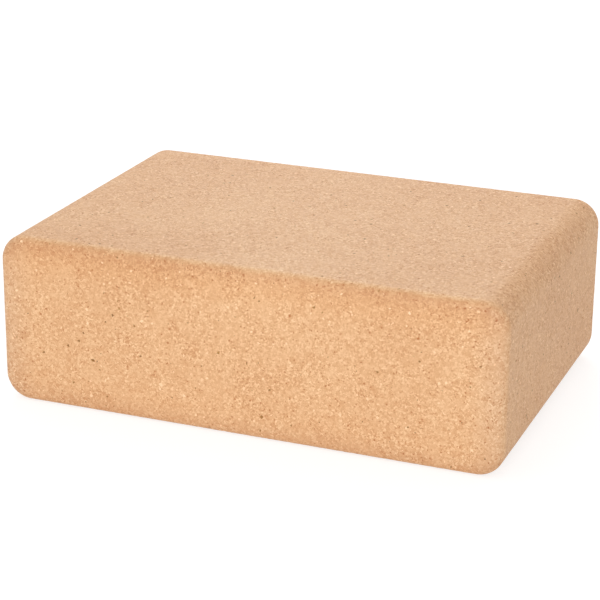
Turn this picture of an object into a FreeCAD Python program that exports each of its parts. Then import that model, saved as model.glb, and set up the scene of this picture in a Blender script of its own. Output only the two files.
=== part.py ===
"""A cork yoga block, 9 x 6 x 3 inches, cut from one solid billet of agglomerated cork.

The block lies on one of its broad faces. X runs along its length, Y across its width and Z up through its
height, and the origin is the centre of the face that it rests on. Sizes are in millimetres.

The real block is one piece: cork granules pressed with a binder into a billet, sawn to a rounded-rectangle
outline and sanded. So the model is one body, made in the same order: the outline is drawn in the XZ plane,
run through the width, and the rims of the two long sides are then eased.
"""

import FreeCAD
import Part
import Sketcher

import math
import os

OUTPUT_FOLDER = "parts"

# Each driving dimension: its alias in the sheet, its size and what it measures.
DRIVING_DIMENSIONS = [
    ("block_length", 228.6, "overall length along X, 9 inches"),
    ("block_width", 152.4, "overall width along Y, 6 inches"),
    ("block_height", 76.2, "overall height along Z, 3 inches"),
    ("corner_radius", 12.0, "radius of the four edges that run across the width"),
    ("rim_radius", 4.0, "radius of the eased rim round each long side"),
]

# How a sketch constraint numbers the ends of an edge and the sketch's own axes.
EDGE_POINT = {"start": 1, "end": 2}
SKETCH_AXIS = {"x": -1, "y": -2}


def add_sheet(doc):
    """Puts the driving dimensions in a spreadsheet, one aliased cell to a row, with a note beside it."""
    sheet = doc.addObject("Spreadsheet::Sheet", "Sizes")
    for row, (alias, size, note) in enumerate(DRIVING_DIMENSIONS, start=1):
        sheet.set(f"A{row}", str(size))
        sheet.setAlias(f"A{row}", alias)
        sheet.set(f"B{row}", note)
    doc.recompute()
    return sheet


def origin_plane(body, role):
    """The body's own origin plane with that role, such as XZ_Plane."""
    return next(feature for feature in body.Origin.OriginFeatures if feature.Role == role)


def draw_outline(sketch, sheet):
    """Draws the rounded rectangle counter-clockwise from its lower side, standing on the sketch's X axis."""
    radius = sheet.corner_radius
    reach = sheet.block_length / 2 - radius
    lower_centre = radius
    upper_centre = sheet.block_height - radius
    quarter_turn = math.pi / 2
    # The corners' centres. The arc of the first, at the lower right, starts a quarter turn below X.
    corners = [
        (reach, lower_centre),
        (reach, upper_centre),
        (-reach, upper_centre),
        (-reach, lower_centre),
    ]
    arcs = []
    start = -quarter_turn
    for x, y in corners:
        circle = Part.Circle(FreeCAD.Vector(x, y, 0), FreeCAD.Vector(0, 0, 1), radius)
        arcs.append(Part.ArcOfCircle(circle, start, start + quarter_turn))
        start += quarter_turn
    lines, bends = [], []
    for number, arc in enumerate(arcs):
        # A straight side runs from the end of the corner before it to the start of its own corner.
        side = Part.LineSegment(arcs[number - 1].EndPoint, arc.StartPoint)
        lines.append(sketch.addGeometry(side))
        bends.append(sketch.addGeometry(arc))
    return lines, bends


def constrain_outline(sketch, sheet, lines, bends):
    """Ties the outline to the sheet: tangent corners of one radius, and the length and height overall."""
    lower, right, upper, left = lines
    start, end = EDGE_POINT["start"], EDGE_POINT["end"]
    for number, (line, bend) in enumerate(zip(lines, bends)):
        next_line = lines[(number + 1) % len(lines)]
        sketch.addConstraint(Sketcher.Constraint("Tangent", line, end, bend, start))
        sketch.addConstraint(Sketcher.Constraint("Tangent", bend, end, next_line, start))
    for bend in bends[1:]:
        sketch.addConstraint(Sketcher.Constraint("Equal", bends[0], bend))
    sketch.addConstraint(Sketcher.Constraint("Horizontal", upper))
    sketch.addConstraint(Sketcher.Constraint("Vertical", right))
    sketch.addConstraint(Sketcher.Constraint("Vertical", left))
    sketch.addConstraint(Sketcher.Constraint("Symmetric", lower, start, lower, end, SKETCH_AXIS["y"]))
    sketch.addConstraint(Sketcher.Constraint("PointOnObject", lower, start, SKETCH_AXIS["x"]))

    length, height, radius = sheet.block_length, sheet.block_height, sheet.corner_radius
    sized = {
        "block_length": Sketcher.Constraint("DistanceX", left, start, right, start, length),
        "block_height": Sketcher.Constraint("DistanceY", lower, start, upper, start, height),
        "corner_radius": Sketcher.Constraint("Radius", bends[0], radius),
    }
    for alias, constraint in sized.items():
        sketch.renameConstraint(sketch.addConstraint(constraint), alias)
        sketch.setExpression(f"Constraints.{alias}", f"Sizes.{alias}")


def long_side_rims(shape, width):
    """Names of the edges round the two long sides, which lie wholly at half the width from the middle."""
    tolerance = 1e-6
    names = []
    for number, edge in enumerate(shape.Edges, start=1):
        box = edge.BoundBox
        if box.YLength < tolerance and abs(abs(box.YMin) - width / 2) < tolerance:
            names.append(f"Edge{number}")
    return names


def add_cork_block(doc, sheet):
    """The whole block: its outline run through the width, with both rims eased."""
    body = doc.addObject("PartDesign::Body", "cork_block")
    body.Label = "cork_block"

    outline = body.newObject("Sketcher::SketchObject", "side_outline")
    outline.AttachmentSupport = (origin_plane(body, "XZ_Plane"), [""])
    outline.MapMode = "FlatFace"
    lines, bends = draw_outline(outline, sheet)
    constrain_outline(outline, sheet, lines, bends)

    billet = body.newObject("PartDesign::Pad", "sawn_billet")
    billet.Profile = outline
    billet.Midplane = True
    billet.setExpression("Length", "Sizes.block_width")
    doc.recompute()

    eased_rims = body.newObject("PartDesign::Fillet", "eased_rims")
    eased_rims.Base = (billet, long_side_rims(billet.Shape, sheet.block_width))
    eased_rims.setExpression("Radius", "Sizes.rim_radius")
    body.Tip = eased_rims
    doc.recompute()
    return body


def check_document(doc, pieces):
    """Stops before anything is written if an object failed or a piece is not one valid solid."""
    for item in doc.Objects:
        if {"Invalid", "Error"} & set(item.State):
            raise RuntimeError(f"{item.Label} failed to recompute: {item.State}")
    for piece in pieces:
        if piece.Shape.isNull() or not piece.Shape.isValid() or len(piece.Shape.Solids) != 1:
            raise RuntimeError(f"{piece.Label} is not one valid solid")


def main():
    doc = FreeCAD.newDocument("yoga_block")
    sheet = add_sheet(doc)
    pieces = [add_cork_block(doc, sheet)]
    check_document(doc, pieces)
    os.makedirs(OUTPUT_FOLDER, exist_ok=True)
    for piece in pieces:
        piece.Shape.exportStep(os.path.join(OUTPUT_FOLDER, f"{piece.Label}.step"))
        box = piece.Shape.optimalBoundingBox()
        print(f"{piece.Label}: {box.XLength:.2f} x {box.YLength:.2f} x {box.ZLength:.2f} mm")
        print(f"{piece.Label}: volume {piece.Shape.Volume:.0f} mm3")


main()
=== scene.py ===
"""A cork yoga block on a white studio floor.

The block is one solid of agglomerated cork: granules of ground bark pressed with a binder, sawn and sanded.
Everything is in metres in the block's own frame: X along its length, Y across its width, with the front long
side towards -Y, and Z up from the face that it rests on.
"""

import math

import bpy
from mathutils import Matrix, Vector


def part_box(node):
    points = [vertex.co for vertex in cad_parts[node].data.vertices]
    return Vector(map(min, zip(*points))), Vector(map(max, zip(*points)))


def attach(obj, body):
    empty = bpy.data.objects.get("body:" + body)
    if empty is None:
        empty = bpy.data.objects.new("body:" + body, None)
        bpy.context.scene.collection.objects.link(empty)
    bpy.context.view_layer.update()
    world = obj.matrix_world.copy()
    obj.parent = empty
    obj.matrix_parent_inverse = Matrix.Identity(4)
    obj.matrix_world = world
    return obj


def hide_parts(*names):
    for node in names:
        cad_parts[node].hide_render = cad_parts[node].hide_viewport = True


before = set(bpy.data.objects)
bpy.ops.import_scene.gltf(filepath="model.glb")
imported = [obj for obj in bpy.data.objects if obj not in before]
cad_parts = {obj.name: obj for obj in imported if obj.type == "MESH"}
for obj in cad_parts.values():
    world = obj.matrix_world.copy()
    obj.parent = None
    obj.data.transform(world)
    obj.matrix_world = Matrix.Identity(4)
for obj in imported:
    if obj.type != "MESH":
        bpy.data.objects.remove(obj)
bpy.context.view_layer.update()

MM = 0.001
WHITE = (1, 1, 1, 1)

# The middle of what runs from 0 to 1: a noise, a random number, a ramp of tones or a cell of a map.
MIDDLE = 0.5

# The block's own sizes: its box comes from the frame, its edge radii from the drawing.
BLOCK_LOW, BLOCK_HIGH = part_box("cork_block")
BLOCK_SIZE = BLOCK_HIGH - BLOCK_LOW
BLOCK_CENTRE = (BLOCK_HIGH + BLOCK_LOW) / 2
CORNER_RADIUS = 12.0 * MM
RIM_RADIUS = 4.0 * MM

# The sanded surface: how far apart its mesh points lie, and how far it stays under the drawn faces.
MESH_SPACING = 1.16 * MM
LEAST_DEPTH = 0.05 * MM
MOST_DEPTH = 0.12 * MM

# The granules of its relief: their size, and how far from a granule's middle, in shares of that size, its
# level dome ends and the hollow beside it is deepest.
RELIEF_GRANULE = 2.6 * MM
RELIEF_DOME = 0.25
RELIEF_HOLLOW = 0.85

# Flecks that show singly are flat chips: their sides, their lengths, how strongly short ones prevail, how
# thick they are and the share of that which stands proud, how wide their tops are against their feet, and
# the span that their corners wander over, as a share of their width.
FLECK_SIDES = 7
FLECK_SMALLEST = 0.4 * MM
FLECK_LARGEST = 1.7 * MM
FLECK_SMALLNESS = 2.2
FLECK_THICKNESS = 0.08 * MM
FLECK_RAISED = 0.3
FLECK_TAPER = 0.84
FLECK_WANDER = 0.45

# The kinds of fleck: each one's material, its darkest and palest colours, how many there are to a square
# metre, how wide the slimmest is as a share of its length, and its seed.
FLECKS = {
    "bark_specks": {
        "material": "dark cork bark",
        "tones": ("#784b15", "#b48344"),
        "density": 7000,
        "slimmest": 0.4,
        "seed": 3,
    },
    "pale_flakes": {
        "material": "pale cork flake",
        "tones": ("#f0c395", "#fed8ae"),
        "density": 32000,
        "slimmest": 0.35,
        "seed": 8,
    },
}

# Their finish: the size of the drift from tone to tone, where in it the two tones lie, and the roughness.
FLECK_DRIFT_MM = 2.5
FLECK_DARK_STOP = 0.3
FLECK_PALE_STOP = 0.7
FLECK_ROUGHNESS = 0.6

# The maps that finishes are baked on: how much of its size a side of the block keeps, which leaves gaps
# between the sides, and how much of its cell a fleck fills.
MAP_SIDE_SHARE = 0.992
MAP_FLECK_SHARE = 0.9

# Sizes in the cork's grain, in millimetres. Real cork cells, about 0.03 mm across, are too fine to show, so
# they are drawn as coarse as CELL_MM. The slice is the place in the mottle's noise where the block lies.
GRANULE_MM = 1.15
DUST_MM = 0.7
OUTLINE_WANDER_MM = 1.6
SEAM_MM = 0.12
PIT_SPACING_MM = 2.4
PIT_RADIUS_MM = 0.56
CELL_MM = 0.25
PATCH_MM = 8.0
MOTTLE_MM = 60.0
MOTTLE_SLICE_MM = 21400.0

# How finely each noise breaks up: its octaves, and for the mottle how strong each is against the one before.
FINE_DETAIL = 2.0
PATCH_DETAIL = 1.0
MOTTLE_DETAIL = 4.0
MOTTLE_ROUGHNESS = 0.6

# Shares in the grain: the granules that are pinches of dust instead, the spread of tones among the solid ones
# against the dust's, and how far the grain's contrast follows the busier and calmer patches.
DUSTY_SHARE = 0.5
SOLID_SPREAD = 0.64
PATCH_CONTRAST = 1.6

# How far the painted shade and highlight and the wear reach, in millimetres: in from the corners and the
# long rims, from a long side to the crest of its rim and as far again past it, down from the upper rims,
# and in from the ends.
EDGE_BAND_MM = 12.0
CREST_MM = 2.3
UPPER_SHADE_BAND_MM = 22.0
END_SHADE_MM = 18.0

# How far each part of the grain, the painted shade and the painted highlight lightens or darkens the cork,
# in levels of 255, and about how many levels lie between the ends of the ramp of tones.
GRANULE_LEVELS = 40
CELL_LEVELS = 30
MOTTLE_LEVELS = 30
SEAM_LEVELS = -15
# Painted shade darkens the pits and the corners, and a painted highlight lightens the crests of the rims.
PIT_SHADE_LEVELS = -55
CORNER_SHADE_LEVELS = -6
CREST_HIGHLIGHT_LEVELS = 7
LEVELS_ON_RAMP = 100

# The cork's tones from dark to pale, and the tints of painted shade that multiply them near the rims and
# ends.
CORK_TONES = [(0.0, "#b87543"), (0.25, "#ce9564"), (0.5, "#e4b485"), (0.75, "#f6cea0"), (1.0, "#ffe8bb")]
# Painted shade tints: along the long rims, in a band under the upper rims, and towards the ends.
RIM_SHADE_TINT = "#f2eeee"
UPPER_BAND_SHADE_TINT = "#fef7ee"
END_SHADE_TINT = "#f5f7ff"

# The roughness of sanded cork, what the grain and the wear add to it, and the index of refraction.
CORK_ROUGHNESS = 0.5
GRANULE_ROUGHNESS = 0.1
SEAM_ROUGHNESS = 0.1
PIT_ROUGHNESS = 0.2
WORN_ROUGHNESS = -0.06
CORK_IOR = 1.5

# How high or deep each part of the grain is, in millimetres, and how strongly that shows.
GRANULE_HEIGHT_MM = 0.03
FUZZ_HEIGHT_MM = 0.02
SEAM_DEPTH_MM = 0.04
PIT_DEPTH_MM = 0.12
GRAIN_BUMP = 0.6

# The camera: the point that it looks at, how far off it is, its angles and lens, and how near it sees.
CAMERA_TARGET_MM = Vector((-3.3, -1.84, 36.7))
CAMERA_DISTANCE_MM = 909.5
CAMERA_AZIMUTH = math.radians(21.33)
CAMERA_ELEVATION = math.radians(20.12)
CAMERA_ROLL = math.radians(0.58)
CAMERA_LENS_MM = 121.0
CAMERA_SENSOR_MM = 36.0
CAMERA_NEAREST_MM = 10.0

# The light: the white surroundings' strength on the block, and each softbox's azimuth from the front towards
# the right end and its elevation, in degrees, its distance and width in metres, and its power in watts.
SURROUND_STRENGTH = 0.715
SOFTBOXES = {
    "front softbox": {"azimuth": 5, "elevation": 10, "distance": 1.6, "width": 0.5, "watts": 8.5},
    "back softbox": {"azimuth": -160, "elevation": 40, "distance": 1.6, "width": 0.9, "watts": 6.0},
}

# The floor: half its width in metres, and how pale it is to the light. The eye sees a darker tone there,
# which takes the shadow, and a glow that lifts it to white.
FLOOR_HALF = 4.0
FLOOR_PALE = 0.9
FLOOR_SHADOWED = 0.4
FLOOR_GLOW = 0.74


def linear(hex_colour):
    """A colour written as sRGB hex, as linear RGBA."""
    channels = [int(hex_colour[i:i + 2], 16) / 255 for i in (1, 3, 5)]
    return [c / 12.92 if c <= 0.04045 else ((c + 0.055) / 1.055) ** 2.4 for c in channels] + [1.0]


def add_node(tree, kind, inputs=None, **settings):
    """Adds a node, sets its settings, and sets or links its inputs, which are given by name or number."""
    node = tree.nodes.new(kind)
    for name, value in settings.items():
        setattr(node, name, value)
    for key, value in (inputs or {}).items():
        if isinstance(value, bpy.types.NodeSocket):
            tree.links.new(value, node.inputs[key])
        else:
            node.inputs[key].default_value = value
    return node


def new_geometry_tree(name, inputs):
    """A geometry tree with named inputs, each given with its socket type. Returns it and their sockets."""
    tree = bpy.data.node_groups.new(name, "GeometryNodeTree")
    for label, socket_type in inputs.items():
        tree.interface.new_socket(label, in_out="INPUT", socket_type=socket_type)
    tree.interface.new_socket("Geometry", in_out="OUTPUT", socket_type="NodeSocketGeometry")
    return tree, add_node(tree, "NodeGroupInput").outputs


def run_geometry_tree(name, tree, values, base_mesh=None):
    """Runs a tree on a new object and leaves its result there as a plain mesh."""
    piece = bpy.data.objects.new(name, base_mesh or bpy.data.meshes.new(name))
    bpy.context.scene.collection.objects.link(piece)
    modifier = piece.modifiers.new(name, "NODES")
    modifier.node_group = tree
    for socket in tree.interface.items_tree:
        if socket.in_out == "INPUT" and socket.name in values:
            modifier[socket.identifier] = values[socket.name]
    depsgraph = bpy.context.evaluated_depsgraph_get()
    evaluated = piece.evaluated_get(depsgraph)
    mesh = bpy.data.meshes.new_from_object(evaluated, preserve_all_data_layers=True, depsgraph=depsgraph)
    piece.modifiers.remove(modifier)
    piece.data = mesh
    mesh.name = name
    return piece


def side_map(tree, place):
    """Where each corner of the box goes on the map that its finish is baked on.

    The six sides lie side by side in one square, all at one scale, each drawn in a little to leave gaps.
    """
    length, width, height = BLOCK_SIZE
    along_x, along_y, along_z = (1, 0, 0), (0, 1, 0), (0, 0, 1)
    sides = [
        ((0, 0, 1), along_x, along_y, (length / 2, width / 2, 0)),
        ((0, 0, -1), along_x, along_y, (length / 2, 1.5 * width, 0)),
        ((0, -1, 0), along_x, along_z, (length / 2, 2 * width + height / 2, 0)),
        ((0, 1, 0), along_z, along_x, (length + height / 2, length / 2, 0)),
        ((1, 0, 0), along_z, along_y, (length + 1.5 * height, width / 2, 0)),
        ((-1, 0, 0), along_z, along_y, (length + 1.5 * height, 1.5 * width, 0)),
    ]
    normal = add_node(tree, "GeometryNodeInputNormal")
    facing = add_node(tree, "GeometryNodeFieldOnDomain", {"Value": normal.outputs[0]},
                      data_type="FLOAT_VECTOR", domain="FACE").outputs[0]
    drawn_in = add_node(tree, "ShaderNodeVectorMath", {0: place, "Scale": MAP_SIDE_SHARE},
                        operation="SCALE").outputs[0]
    spot = (0, 0, 0)
    for direction, across, up, middle in sides:
        faces = add_node(tree, "ShaderNodeVectorMath", {0: facing, 1: direction}, operation="DOT_PRODUCT")
        share = add_node(tree, "ShaderNodeMath", {0: faces.outputs["Value"], 1: 0.0}, operation="MAXIMUM")
        u = add_node(tree, "ShaderNodeVectorMath", {0: drawn_in, 1: across}, operation="DOT_PRODUCT")
        v = add_node(tree, "ShaderNodeVectorMath", {0: drawn_in, 1: up}, operation="DOT_PRODUCT")
        patch = add_node(tree, "ShaderNodeCombineXYZ", {"X": u.outputs["Value"], "Y": v.outputs["Value"]})
        moved = add_node(tree, "ShaderNodeVectorMath", {0: patch.outputs[0], 1: middle}, operation="ADD")
        added = add_node(tree, "ShaderNodeVectorMath", {0: moved.outputs[0], 1: share.outputs[0], 2: spot},
                         operation="MULTIPLY_ADD")
        spot = added.outputs[0]
    in_square = add_node(tree, "ShaderNodeVectorMath", {0: spot, "Scale": 1 / (length + 2 * height)},
                         operation="SCALE")
    return in_square.outputs[0]


def block_tree():
    """A fine box whose points are moved onto the rounded block.

    The block is an inner body, a rounded rectangle run through the width, grown all round by the rim radius.
    Each point of the box finds the nearest point of that inner body, and then stands off it by the rim
    radius, less the depth of the granular relief there.
    """
    tree, given = new_geometry_tree("rounded cork block", {
        "Size": "NodeSocketVector",
        "Centre": "NodeSocketVector",
        "Points X": "NodeSocketInt",
        "Points Y": "NodeSocketInt",
        "Points Z": "NodeSocketInt",
        "Corner Core": "NodeSocketVector",
        "Corner Radius": "NodeSocketFloat",
        "Rim Radius": "NodeSocketFloat",
        "Least Depth": "NodeSocketFloat",
        "Most Depth": "NodeSocketFloat",
        "Granule": "NodeSocketFloat",
        "Material": "NodeSocketMaterial",
    })
    box = add_node(tree, "GeometryNodeMeshCube", {
        "Size": given["Size"],
        "Vertices X": given["Points X"],
        "Vertices Y": given["Points Y"],
        "Vertices Z": given["Points Z"],
    })
    place = add_node(tree, "GeometryNodeInputPosition").outputs[0]
    mapped = add_node(tree, "GeometryNodeStoreNamedAttribute", {
        "Geometry": box.outputs[0],
        "Name": "OFBake",
        "Value": side_map(tree, place),
    }, data_type="FLOAT2", domain="CORNER")

    # The nearest point of the inner body: first of its straight core, then out to its rounded corners.
    high_core = given["Corner Core"]
    low_core = add_node(tree, "ShaderNodeVectorMath", {0: high_core, "Scale": -1.0}, operation="SCALE")
    above = add_node(tree, "ShaderNodeVectorMath", {0: place, 1: low_core.outputs[0]}, operation="MAXIMUM")
    core = add_node(tree, "ShaderNodeVectorMath", {0: above.outputs[0], 1: high_core}, operation="MINIMUM")
    from_core = add_node(tree, "ShaderNodeVectorMath", {0: place, 1: core.outputs[0]}, operation="SUBTRACT")
    in_profile = add_node(tree, "ShaderNodeVectorMath", {0: from_core.outputs[0], 1: (1, 0, 1)},
                          operation="MULTIPLY")
    reach = add_node(tree, "ShaderNodeVectorMath", {0: in_profile.outputs[0]}, operation="LENGTH")
    inner_radius = add_node(tree, "ShaderNodeMath", {0: given["Corner Radius"], 1: given["Rim Radius"]},
                            operation="SUBTRACT")
    share = add_node(tree, "ShaderNodeMath", {0: inner_radius.outputs[0], 1: reach.outputs["Value"]},
                     operation="DIVIDE", use_clamp=True)
    to_corner = add_node(tree, "ShaderNodeVectorMath", {0: in_profile.outputs[0], "Scale": share.outputs[0]},
                         operation="SCALE")
    inner = add_node(tree, "ShaderNodeVectorMath", {0: core.outputs[0], 1: to_corner.outputs[0]},
                     operation="ADD")
    outward = add_node(tree, "ShaderNodeVectorMath", {0: place, 1: inner.outputs[0]}, operation="SUBTRACT")
    normal = add_node(tree, "ShaderNodeVectorMath", {0: outward.outputs[0]}, operation="NORMALIZE")

    # The relief: granules stand proud, and the sanded surface dips a little between them.
    per_granule = add_node(tree, "ShaderNodeMath", {0: 1.0, 1: given["Granule"]}, operation="DIVIDE")
    granules = add_node(tree, "ShaderNodeTexVoronoi", {"Vector": place, "Scale": per_granule.outputs[0]})
    dip = add_node(tree, "ShaderNodeMapRange", {
        "Value": granules.outputs["Distance"],
        "From Min": RELIEF_DOME,
        "From Max": RELIEF_HOLLOW,
        "To Min": given["Least Depth"],
        "To Max": given["Most Depth"],
    })
    stand_off = add_node(tree, "ShaderNodeMath", {0: given["Rim Radius"], 1: dip.outputs[0]},
                         operation="SUBTRACT")
    surface = add_node(tree, "ShaderNodeVectorMath", {
        0: normal.outputs[0],
        1: stand_off.outputs[0],
        2: inner.outputs[0],
    }, operation="MULTIPLY_ADD")
    placed = add_node(tree, "ShaderNodeVectorMath", {0: surface.outputs[0], 1: given["Centre"]},
                      operation="ADD")

    moved = add_node(tree, "GeometryNodeSetPosition", {
        "Geometry": mapped.outputs[0],
        "Position": placed.outputs[0],
    })
    smooth = add_node(tree, "GeometryNodeSetShadeSmooth", {"Geometry": moved.outputs[0]})
    whole = add_node(tree, "GeometryNodeRealizeInstances", {"Geometry": smooth.outputs[0]})
    finished = add_node(tree, "GeometryNodeSetMaterial", {
        "Geometry": whole.outputs[0],
        "Material": given["Material"],
    })
    add_node(tree, "NodeGroupOutput", {"Geometry": finished.outputs[0]})
    return tree


def chip_map(tree, points, spot):
    """Where each corner of a chip goes on the map that its finish is baked on.

    Each chip lies in the middle of a cell of its own, in a grid with as many columns as make it square.
    """
    count = add_node(tree, "GeometryNodeAttributeDomainSize", {0: points}, component="POINTCLOUD")
    root = add_node(tree, "ShaderNodeMath", {0: count.outputs["Point Count"]}, operation="SQRT")
    columns = add_node(tree, "ShaderNodeMath", {0: root.outputs[0]}, operation="CEIL").outputs[0]
    number = add_node(tree, "GeometryNodeInputNamedAttribute", {"Name": "chip_number"},
                      data_type="FLOAT").outputs["Attribute"]
    column = add_node(tree, "ShaderNodeMath", {0: number, 1: columns}, operation="MODULO")
    rows_before = add_node(tree, "ShaderNodeMath", {0: number, 1: columns}, operation="DIVIDE")
    row = add_node(tree, "ShaderNodeMath", {0: rows_before.outputs[0]}, operation="FLOOR")
    cell = add_node(tree, "ShaderNodeCombineXYZ", {"X": column.outputs[0], "Y": row.outputs[0]})
    in_cell = add_node(tree, "ShaderNodeVectorMath", {
        0: spot,
        1: (MAP_FLECK_SHARE, MAP_FLECK_SHARE, 0),
        2: (MIDDLE, MIDDLE, 0),
    }, operation="MULTIPLY_ADD")
    on_grid = add_node(tree, "ShaderNodeVectorMath", {0: in_cell.outputs[0], 1: cell.outputs[0]},
                       operation="ADD")
    in_square = add_node(tree, "ShaderNodeVectorMath", {0: on_grid.outputs[0], 1: columns},
                         operation="DIVIDE")
    return in_square.outputs[0]


def fleck_tree():
    """Thin chips with uneven outlines, strewn over a surface and let into it."""
    tree, given = new_geometry_tree("strewn flecks", {
        "Geometry": "NodeSocketGeometry",
        "Density": "NodeSocketFloat",
        "Smallest": "NodeSocketFloat",
        "Largest": "NodeSocketFloat",
        "Slimmest": "NodeSocketFloat",
        "Thickness": "NodeSocketFloat",
        "Sides": "NodeSocketInt",
        "Seed": "NodeSocketInt",
        "Material": "NodeSocketMaterial",
    })
    place = add_node(tree, "GeometryNodeInputPosition").outputs[0]
    strewn = add_node(tree, "GeometryNodeDistributePointsOnFaces", {
        "Mesh": given["Geometry"],
        "Density": given["Density"],
        "Seed": given["Seed"],
    })
    facing = add_node(tree, "GeometryNodeStoreNamedAttribute", {
        "Geometry": strewn.outputs["Points"],
        "Name": "surface_normal",
        "Value": strewn.outputs["Normal"],
    }, data_type="FLOAT_VECTOR")
    numbered = add_node(tree, "GeometryNodeStoreNamedAttribute", {
        "Geometry": facing.outputs[0],
        "Name": "chip_number",
        "Value": add_node(tree, "GeometryNodeInputIndex").outputs[0],
    }, data_type="FLOAT")

    # Each chip's length, width and turn are random, and each draw has a seed of its own.
    turn_seed = add_node(tree, "FunctionNodeIntegerMath", {0: given["Seed"], 1: 1}, operation="ADD")
    slimness_seed = add_node(tree, "FunctionNodeIntegerMath", {0: given["Seed"], 1: 2}, operation="ADD")
    chance = add_node(tree, "FunctionNodeRandomValue", {"Min": 0.0, "Max": 1.0, "Seed": given["Seed"]})
    mostly_small = add_node(tree, "ShaderNodeMath", {0: chance.outputs["Value"], 1: FLECK_SMALLNESS},
                            operation="POWER")
    length = add_node(tree, "ShaderNodeMapRange", {
        "Value": mostly_small.outputs[0],
        "To Min": given["Smallest"],
        "To Max": given["Largest"],
    })
    slimness = add_node(tree, "FunctionNodeRandomValue", {
        "Min": given["Slimmest"],
        "Max": 1.0,
        "Seed": slimness_seed.outputs[0],
    })
    width = add_node(tree, "ShaderNodeMath", {0: length.outputs[0], 1: slimness.outputs["Value"]},
                     operation="MULTIPLY")
    measured = add_node(tree, "GeometryNodeStoreNamedAttribute", {
        "Geometry": numbered.outputs[0],
        "Name": "chip_width",
        "Value": width.outputs[0],
    }, data_type="FLOAT")
    turn = add_node(tree, "FunctionNodeRandomValue", {
        "Min": 0.0,
        "Max": math.tau,
        "Seed": turn_seed.outputs[0],
    })
    spin = add_node(tree, "FunctionNodeAxisAngleToRotation", {
        "Axis": (0, 0, 1),
        "Angle": turn.outputs["Value"],
    })
    laid = add_node(tree, "FunctionNodeRotateRotation", {
        "Rotation": strewn.outputs["Rotation"],
        "Rotate By": spin.outputs[0],
    }, rotation_space="LOCAL")

    # One chip, a unit across and a unit high, is scaled to these sizes at each point.
    chip = add_node(tree, "GeometryNodeMeshCone", {
        "Vertices": given["Sides"],
        "Radius Top": FLECK_TAPER / 2,
        "Radius Bottom": 1 / 2,
        "Depth": 1.0,
    })
    outlined = add_node(tree, "GeometryNodeStoreNamedAttribute", {
        "Geometry": chip.outputs["Mesh"],
        "Name": "chip_spot",
        "Value": place,
    }, data_type="FLOAT_VECTOR")
    scale = add_node(tree, "ShaderNodeCombineXYZ", {
        "X": length.outputs[0],
        "Y": width.outputs[0],
        "Z": given["Thickness"],
    })
    chips = add_node(tree, "GeometryNodeInstanceOnPoints", {
        "Points": measured.outputs[0],
        "Instance": outlined.outputs[0],
        "Rotation": laid.outputs[0],
        "Scale": scale.outputs[0],
    })
    whole = add_node(tree, "GeometryNodeRealizeInstances", {"Geometry": chips.outputs[0]})

    # Each corner of a chip wanders in the plane of the surface, so that no two outlines are alike.
    jitter = add_node(tree, "ShaderNodeTexWhiteNoise", {"Vector": place})
    centred = add_node(tree, "ShaderNodeVectorMath", {0: jitter.outputs["Color"], 1: [MIDDLE] * 3},
                       operation="SUBTRACT")
    chip_width = add_node(tree, "GeometryNodeInputNamedAttribute", {"Name": "chip_width"}, data_type="FLOAT")
    wander = add_node(tree, "ShaderNodeMath", {0: chip_width.outputs["Attribute"], 1: FLECK_WANDER},
                      operation="MULTIPLY")
    shift = add_node(tree, "ShaderNodeVectorMath", {0: centred.outputs[0], "Scale": wander.outputs[0]},
                     operation="SCALE")
    normal = add_node(tree, "GeometryNodeInputNamedAttribute", {"Name": "surface_normal"},
                      data_type="FLOAT_VECTOR").outputs["Attribute"]
    upward = add_node(tree, "ShaderNodeVectorMath", {0: shift.outputs[0], 1: normal}, operation="PROJECT")
    level = add_node(tree, "ShaderNodeVectorMath", {0: shift.outputs[0], 1: upward.outputs[0]},
                     operation="SUBTRACT")
    uneven = add_node(tree, "GeometryNodeSetPosition", {
        "Geometry": whole.outputs[0],
        "Offset": level.outputs[0],
    })

    # Each chip then bends to the surface, with its top a little proud of it and its foot below.
    spot = add_node(tree, "GeometryNodeInputNamedAttribute", {"Name": "chip_spot"},
                    data_type="FLOAT_VECTOR").outputs["Attribute"]
    height = add_node(tree, "ShaderNodeSeparateXYZ", {0: spot}).outputs["Z"]
    above = add_node(tree, "ShaderNodeMath", {0: height, 1: 1.0 - FLECK_RAISED}, operation="SUBTRACT")
    rise = add_node(tree, "ShaderNodeMath", {0: above.outputs[0], 1: given["Thickness"]},
                    operation="MULTIPLY")
    nearest = add_node(tree, "GeometryNodeProximity", {0: given["Geometry"]}, target_element="FACES")
    bent = add_node(tree, "ShaderNodeVectorMath", {
        0: normal,
        1: rise.outputs[0],
        2: nearest.outputs["Position"],
    }, operation="MULTIPLY_ADD")
    laid_in = add_node(tree, "GeometryNodeSetPosition", {
        "Geometry": uneven.outputs[0],
        "Position": bent.outputs[0],
    })

    mapped = add_node(tree, "GeometryNodeStoreNamedAttribute", {
        "Geometry": laid_in.outputs[0],
        "Name": "OFBake",
        "Value": chip_map(tree, strewn.outputs["Points"], spot),
    }, data_type="FLOAT2", domain="CORNER")
    finished = add_node(tree, "GeometryNodeSetMaterial", {
        "Geometry": mapped.outputs[0],
        "Material": given["Material"],
    })
    add_node(tree, "NodeGroupOutput", {"Geometry": finished.outputs[0]})
    return tree


def new_material(name):
    """A node material. Returns it, its tree, its shader and the place on the piece, in millimetres."""
    material = bpy.data.materials.new(name)
    material.use_nodes = True
    tree = material.node_tree
    tree.nodes.clear()
    shader = add_node(tree, "ShaderNodeBsdfPrincipled")
    add_node(tree, "ShaderNodeOutputMaterial", {"Surface": shader.outputs[0]})
    coordinates = add_node(tree, "ShaderNodeTexCoord")
    in_mm = add_node(tree, "ShaderNodeVectorMath", {0: coordinates.outputs["Object"], "Scale": 1 / MM},
                     operation="SCALE")
    return material, tree, shader, in_mm.outputs[0]


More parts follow.
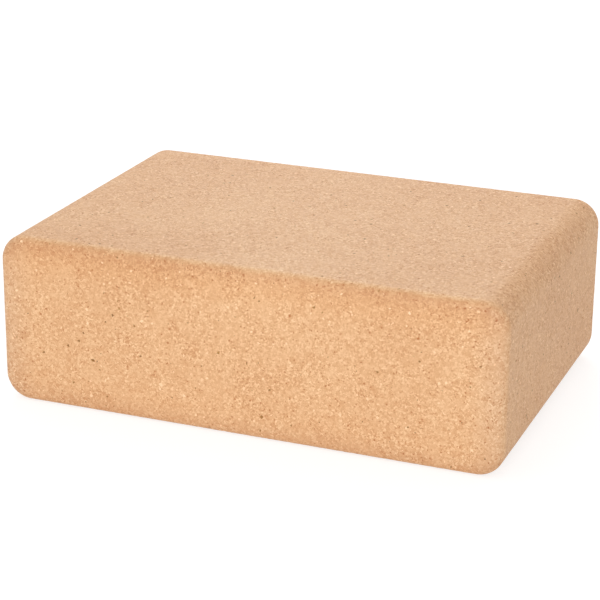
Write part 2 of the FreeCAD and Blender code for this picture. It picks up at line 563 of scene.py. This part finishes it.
def fill_ramp(ramp_node, stops):
    """Sets a colour ramp's stops, each a place from 0 to 1 and an sRGB hex colour."""
    elements = ramp_node.color_ramp.elements
    while len(elements) > 1:
        elements.remove(elements[-1])
    elements[0].position, elements[0].color = stops[0][0], linear(stops[0][1])
    for position, colour in stops[1:]:
        elements.new(position).color = linear(colour)


def weighted_sum(tree, start, parts):
    """A start value plus each part, a socket, times its weight, a number or a socket."""
    total = start
    for part, weight in parts:
        total = add_node(tree, "ShaderNodeMath", {0: part, 1: weight, 2: total},
                         operation="MULTIPLY_ADD").outputs[0]
    return total


def edge_shade_and_wear(tree, place):
    """Bands along the block's edges, by name, from 1 on the edge to 0 away from it.

    They carry painted shade on the corners, along the long rims, in a band under the upper rims and towards
    the ends, and a painted highlight on the crests; wear also makes the corners and crests smoother. The
    corners are those that run across the width. On the front and back sides there are the long rims, the band
    under the upper rims and the ends. The crests are lines along the long rims, on the top and the underside.
    """
    from_centre = add_node(tree, "ShaderNodeVectorMath", {0: place, 1: BLOCK_CENTRE / MM},
                           operation="SUBTRACT").outputs[0]
    either_side = add_node(tree, "ShaderNodeVectorMath", {0: from_centre}, operation="ABSOLUTE")
    under_faces = add_node(tree, "ShaderNodeVectorMath", {0: BLOCK_SIZE / 2 / MM, 1: either_side.outputs[0]},
                           operation="SUBTRACT")
    depth = add_node(tree, "ShaderNodeSeparateXYZ", {0: under_faces.outputs[0]}).outputs
    from_corner = add_node(tree, "ShaderNodeMath", {0: depth["X"], 1: depth["Z"]}, operation="MAXIMUM")
    height = add_node(tree, "ShaderNodeSeparateXYZ", {0: from_centre}).outputs["Z"]
    below_top = add_node(tree, "ShaderNodeMath", {0: BLOCK_SIZE.z / 2 / MM, 1: height}, operation="SUBTRACT")
    past_crest = add_node(tree, "ShaderNodeMath", {0: depth["Y"], 1: CREST_MM}, operation="SUBTRACT")
    from_crest = add_node(tree, "ShaderNodeMath", {0: past_crest.outputs[0]}, operation="ABSOLUTE")

    # How near a place is to each edge and face: 1 at no distance, easing to 0 at the reach.
    near = {}
    for name, distance, reach in (
        ("corner", from_corner.outputs[0], EDGE_BAND_MM),
        ("rim", depth["Z"], EDGE_BAND_MM),
        ("end", depth["X"], END_SHADE_MM),
        ("crest", from_crest.outputs[0], CREST_MM),
        ("upper_shade_band", below_top.outputs[0], UPPER_SHADE_BAND_MM),
        ("long side", depth["Y"], RIM_RADIUS / 2 / MM),
        ("long side and its rim", depth["Y"], RIM_RADIUS / MM),
        ("top or underside", depth["Z"], RIM_RADIUS / 2 / MM),
    ):
        near[name] = add_node(tree, "ShaderNodeMapRange", {
            "Value": distance,
            "From Max": reach,
            "To Min": 1.0,
            "To Max": 0.0,
        }, interpolation_type="SMOOTHSTEP").outputs[0]

    edge_bands = {"corner": near["corner"]}
    for name, face in (
        ("rim", "long side"),
        ("upper_shade_band", "long side"),
        ("end", "long side and its rim"),
        ("crest", "top or underside"),
    ):
        both = add_node(tree, "ShaderNodeMath", {0: near[name], 1: near[face]}, operation="MULTIPLY")
        edge_bands[name] = both.outputs[0]
    return edge_bands


def cork_grain(tree, place):
    """The parts of the cork's grain by name, each from 0 to 1."""
    # Granule outlines wander, so that the cells look broken and not cut.
    wander = add_node(tree, "ShaderNodeTexNoise", {
        "Vector": place,
        "Scale": 1 / GRANULE_MM,
        "Detail": FINE_DETAIL,
    })
    centred = add_node(tree, "ShaderNodeVectorMath", {0: wander.outputs["Color"], 1: [MIDDLE] * 3},
                       operation="SUBTRACT")
    shift = add_node(tree, "ShaderNodeVectorMath", {0: centred.outputs[0], "Scale": OUTLINE_WANDER_MM},
                     operation="SCALE")
    broken = add_node(tree, "ShaderNodeVectorMath", {0: place, 1: shift.outputs[0]},
                      operation="ADD").outputs[0]

    # Each granule has three random numbers: its tone, whether it is a pinch of dust instead, and its height.
    granules = add_node(tree, "ShaderNodeTexVoronoi", {"Vector": broken, "Scale": 1 / GRANULE_MM})
    dust = add_node(tree, "ShaderNodeTexVoronoi", {"Vector": broken, "Scale": 1 / DUST_MM})
    granule = add_node(tree, "ShaderNodeSeparateColor", {"Color": granules.outputs["Color"]}).outputs
    dust_tone = add_node(tree, "ShaderNodeSeparateColor", {"Color": dust.outputs["Color"]}).outputs[0]
    dusty = add_node(tree, "ShaderNodeMath", {0: granule[1], 1: 1.0 - DUSTY_SHARE}, operation="GREATER_THAN")
    solid = add_node(tree, "ShaderNodeMapRange", {
        "Value": granule[0],
        "To Min": MIDDLE - SOLID_SPREAD / 2,
        "To Max": MIDDLE + SOLID_SPREAD / 2,
    })
    tone = add_node(tree, "ShaderNodeMix", {
        "Factor": dusty.outputs[0],
        "A": solid.outputs[0],
        "B": dust_tone,
    })

    edges = add_node(tree, "ShaderNodeTexVoronoi", {"Vector": broken, "Scale": 1 / GRANULE_MM},
                     feature="DISTANCE_TO_EDGE")
    seam = add_node(tree, "ShaderNodeMapRange", {
        "Value": edges.outputs["Distance"],
        "From Max": SEAM_MM / GRANULE_MM,
        "To Min": 1.0,
        "To Max": 0.0,
    })
    holes = add_node(tree, "ShaderNodeTexVoronoi", {"Vector": broken, "Scale": 1 / PIT_SPACING_MM})
    pit = add_node(tree, "ShaderNodeMapRange", {
        "Value": holes.outputs["Distance"],
        "From Max": PIT_RADIUS_MM / PIT_SPACING_MM,
        "To Min": 1.0,
        "To Max": 0.0,
    }, interpolation_type="SMOOTHSTEP")
    cells = add_node(tree, "ShaderNodeTexNoise", {
        "Vector": place,
        "Scale": 1 / CELL_MM,
        "Detail": FINE_DETAIL,
    })
    return {
        "tone": tone.outputs[0],
        "height": granule[2],
        "seam": seam.outputs[0],
        "pit": pit.outputs[0],
        "cells": cells.outputs[0],
    }


def sanded_cork():
    """Agglomerated cork, sawn and sanded.

    It shows matt tan granules of a millimetre or so, each of its own tone, with finer dust in the place of
    some, broken seams of binder, small pits where dust has crumbled out, darkened with painted shade, busier
    and calmer patches, and a slow drift of tone over the block. Painted shade darkens its corners and long
    rims a little, darkens and warms a band under the upper rims and greys the long sides towards the ends.
    The corners and the crests of the rims are smoothed by wear, and the crests carry a painted highlight.
    """
    material, tree, shader, place = new_material("sanded agglomerated cork")
    grain = cork_grain(tree, place)
    edge_bands = edge_shade_and_wear(tree, place)
    mottle = add_node(tree, "ShaderNodeTexNoise", {
        "Vector": place,
        "W": MOTTLE_SLICE_MM,
        "Scale": 1 / MOTTLE_MM,
        "Detail": MOTTLE_DETAIL,
        "Roughness": MOTTLE_ROUGHNESS,
    }, noise_dimensions="4D")
    patches = add_node(tree, "ShaderNodeTexNoise", {
        "Vector": place,
        "Scale": 1 / PATCH_MM,
        "Detail": PATCH_DETAIL,
    })
    contrast = weighted_sum(tree, 1.0 - MIDDLE * PATCH_CONTRAST, [(patches.outputs[0], PATCH_CONTRAST)])

    # A part that lightens as often as it darkens counts from its middle, so each sum starts that much lower.
    texture = weighted_sum(tree, -MIDDLE * (GRANULE_LEVELS + CELL_LEVELS) / LEVELS_ON_RAMP, [
        (grain["tone"], GRANULE_LEVELS / LEVELS_ON_RAMP),
        (grain["cells"], CELL_LEVELS / LEVELS_ON_RAMP),
        (grain["seam"], SEAM_LEVELS / LEVELS_ON_RAMP),
        # Painted shade darkens the pits.
        (grain["pit"], PIT_SHADE_LEVELS / LEVELS_ON_RAMP),
    ])
    tone = weighted_sum(tree, MIDDLE - MIDDLE * MOTTLE_LEVELS / LEVELS_ON_RAMP, [
        (texture, contrast),
        (mottle.outputs[0], MOTTLE_LEVELS / LEVELS_ON_RAMP),
        # Painted shade darkens the corners, and a painted highlight lightens the crests.
        (edge_bands["corner"], CORNER_SHADE_LEVELS / LEVELS_ON_RAMP),
        (edge_bands["crest"], CREST_HIGHLIGHT_LEVELS / LEVELS_ON_RAMP),
    ])
    ramp = add_node(tree, "ShaderNodeValToRGB", {"Fac": tone})
    fill_ramp(ramp, CORK_TONES)

    # Inputs 0, 6 and 7 of a colour mix are its factor and its two colours, and output 2 is the mixed colour.
    colour = ramp.outputs[0]
    # The tints are painted shade: along the long rims, in a band under the upper rims and towards the ends.
    for name, tint in (("rim", RIM_SHADE_TINT), ("upper_shade_band", UPPER_BAND_SHADE_TINT), ("end", END_SHADE_TINT)):
        colour = add_node(tree, "ShaderNodeMix", {0: edge_bands[name], 6: colour, 7: linear(tint)},
                          data_type="RGBA", blend_type="MULTIPLY").outputs[2]
    roughness = weighted_sum(tree, CORK_ROUGHNESS, [
        (grain["height"], GRANULE_ROUGHNESS),
        (grain["seam"], SEAM_ROUGHNESS),
        (grain["pit"], PIT_ROUGHNESS),
        (edge_bands["corner"], WORN_ROUGHNESS),
        (edge_bands["crest"], WORN_ROUGHNESS),
    ])
    height = weighted_sum(tree, 0.0, [
        (grain["height"], GRANULE_HEIGHT_MM),
        (grain["cells"], FUZZ_HEIGHT_MM),
        (grain["seam"], -SEAM_DEPTH_MM),
        (grain["pit"], -PIT_DEPTH_MM),
    ])
    bump = add_node(tree, "ShaderNodeBump", {"Height": height, "Strength": GRAIN_BUMP, "Distance": MM})

    tree.links.new(colour, shader.inputs["Base Color"])
    tree.links.new(roughness, shader.inputs["Roughness"])
    tree.links.new(bump.outputs[0], shader.inputs["Normal"])
    shader.inputs["IOR"].default_value = CORK_IOR
    return material


def fleck_finish(name, dark, pale):
    """A matt flake of bark or cork. Its tone drifts between a darker and a paler one from chip to chip."""
    material, tree, shader, place = new_material(name)
    drift = add_node(tree, "ShaderNodeTexNoise", {
        "Vector": place,
        "Scale": 1 / FLECK_DRIFT_MM,
        "Detail": FINE_DETAIL,
    })
    tones = add_node(tree, "ShaderNodeValToRGB", {"Fac": drift.outputs[0]})
    fill_ramp(tones, [(FLECK_DARK_STOP, dark), (FLECK_PALE_STOP, pale)])
    tree.links.new(tones.outputs[0], shader.inputs["Base Color"])
    shader.inputs["Roughness"].default_value = FLECK_ROUGHNESS
    shader.inputs["IOR"].default_value = CORK_IOR
    return material


def make_block():
    """The sanded block itself, in place of the plain solid."""
    half = BLOCK_SIZE / 2
    core = Vector((half.x - CORNER_RADIUS, half.y - RIM_RADIUS, half.z - CORNER_RADIUS))
    points = [round(side / MESH_SPACING) + 1 for side in BLOCK_SIZE]
    block = run_geometry_tree("sanded_cork_block", block_tree(), {
        "Size": BLOCK_SIZE,
        "Centre": BLOCK_CENTRE,
        "Points X": points[0],
        "Points Y": points[1],
        "Points Z": points[2],
        "Corner Core": core,
        "Corner Radius": CORNER_RADIUS,
        "Rim Radius": RIM_RADIUS,
        "Least Depth": LEAST_DEPTH,
        "Most Depth": MOST_DEPTH,
        "Granule": RELIEF_GRANULE,
        "Material": sanded_cork(),
    })
    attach(block, "root")
    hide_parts("cork_block")
    return block


def make_flecks(block):
    """The specks of bark and the pale flakes, let into the block's surface."""
    tree = fleck_tree()
    for name, kind in FLECKS.items():
        flecks = run_geometry_tree(name, tree, {
            "Density": kind["density"],
            "Smallest": FLECK_SMALLEST,
            "Largest": FLECK_LARGEST,
            "Slimmest": kind["slimmest"],
            "Thickness": FLECK_THICKNESS,
            "Sides": FLECK_SIDES,
            "Seed": kind["seed"],
            "Material": fleck_finish(kind["material"], *kind["tones"]),
        }, block.data.copy())
        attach(flecks, "root")


def camera_rays(tree):
    """1 for rays that show things to the eye, also in gloss or glass, and 0 for rays that light them."""
    path = add_node(tree, "ShaderNodeLightPath").outputs
    glossy = add_node(tree, "ShaderNodeMath", {0: path["Is Camera Ray"], 1: path["Is Glossy Ray"]},
                      operation="MAXIMUM")
    seen = add_node(tree, "ShaderNodeMath", {0: glossy.outputs[0], 1: path["Is Transmission Ray"]},
                    operation="MAXIMUM")
    return seen.outputs[0]


def make_floor():
    """A plain white floor, which shows white with a soft shadow under the block."""
    mesh = bpy.data.meshes.new("studio_floor")
    corners = [(x * FLOOR_HALF, y * FLOOR_HALF, 0) for x, y in ((-1, -1), (1, -1), (1, 1), (-1, 1))]
    mesh.from_pydata(corners, [], [(0, 1, 2, 3)])
    floor = bpy.data.objects.new("studio_floor", mesh)
    bpy.context.scene.collection.objects.link(floor)
    material = bpy.data.materials.new("white studio floor")
    material.use_nodes = True
    tree = material.node_tree
    tree.nodes.clear()
    paper = add_node(tree, "ShaderNodeBsdfDiffuse", {"Color": [FLOOR_PALE] * 3 + [1]})
    shadowed = add_node(tree, "ShaderNodeBsdfDiffuse", {"Color": [FLOOR_SHADOWED] * 3 + [1]})
    glow = add_node(tree, "ShaderNodeEmission", {"Color": WHITE, "Strength": FLOOR_GLOW})
    shown = add_node(tree, "ShaderNodeAddShader", {0: shadowed.outputs[0], 1: glow.outputs[0]})
    both = add_node(tree, "ShaderNodeMixShader", {
        0: camera_rays(tree),
        1: paper.outputs[0],
        2: shown.outputs[0],
    })
    add_node(tree, "ShaderNodeOutputMaterial", {"Surface": both.outputs[0]})
    mesh.materials.append(material)


def make_light():
    """White surroundings, and two large soft lights: one low in front, one behind and higher up."""
    world = bpy.data.worlds.new("white studio")
    bpy.context.scene.world = world
    world.use_nodes = True
    tree = world.node_tree
    tree.nodes.clear()
    strength = add_node(tree, "ShaderNodeMapRange", {
        "Value": camera_rays(tree),
        "To Min": SURROUND_STRENGTH,
        "To Max": 1.0,
    })
    background = add_node(tree, "ShaderNodeBackground", {"Color": WHITE, "Strength": strength.outputs[0]})
    add_node(tree, "ShaderNodeOutputWorld", {"Surface": background.outputs[0]})

    for name, box in SOFTBOXES.items():
        lamp = bpy.data.lights.new(name, "AREA")
        lamp.shape = "DISK"
        lamp.size = box["width"]
        lamp.energy = box["watts"]
        softbox = bpy.data.objects.new(name, lamp)
        azimuth, elevation = math.radians(box["azimuth"]), math.radians(box["elevation"])
        level = Vector((math.sin(azimuth), -math.cos(azimuth), 0)) * math.cos(elevation)
        direction = level + Vector((0, 0, math.sin(elevation)))
        softbox.location = BLOCK_CENTRE + direction * box["distance"]
        softbox.rotation_euler = direction.to_track_quat("Z", "Y").to_euler()
        bpy.context.scene.collection.objects.link(softbox)


def make_camera():
    """The camera, turned by its azimuth about the block, tipped down by its elevation, and rolled."""
    lens = bpy.data.cameras.new("camera")
    lens.lens = CAMERA_LENS_MM
    lens.sensor_width = CAMERA_SENSOR_MM
    lens.clip_start = CAMERA_NEAREST_MM * MM
    camera = bpy.data.objects.new("camera", lens)
    turned = (
        Matrix.Rotation(CAMERA_AZIMUTH, 4, "Z")
        @ Matrix.Rotation(math.pi / 2 - CAMERA_ELEVATION, 4, "X")
        @ Matrix.Rotation(CAMERA_ROLL, 4, "Z")
    )
    back = turned @ Vector((0, 0, CAMERA_DISTANCE_MM))
    camera.matrix_world = Matrix.Translation((CAMERA_TARGET_MM + back) * MM) @ turned
    bpy.context.scene.collection.objects.link(camera)
    bpy.context.scene.camera = camera


bpy.context.scene.view_settings.view_transform = "Standard"
make_flecks(make_block())
make_floor()
make_light()
make_camera()
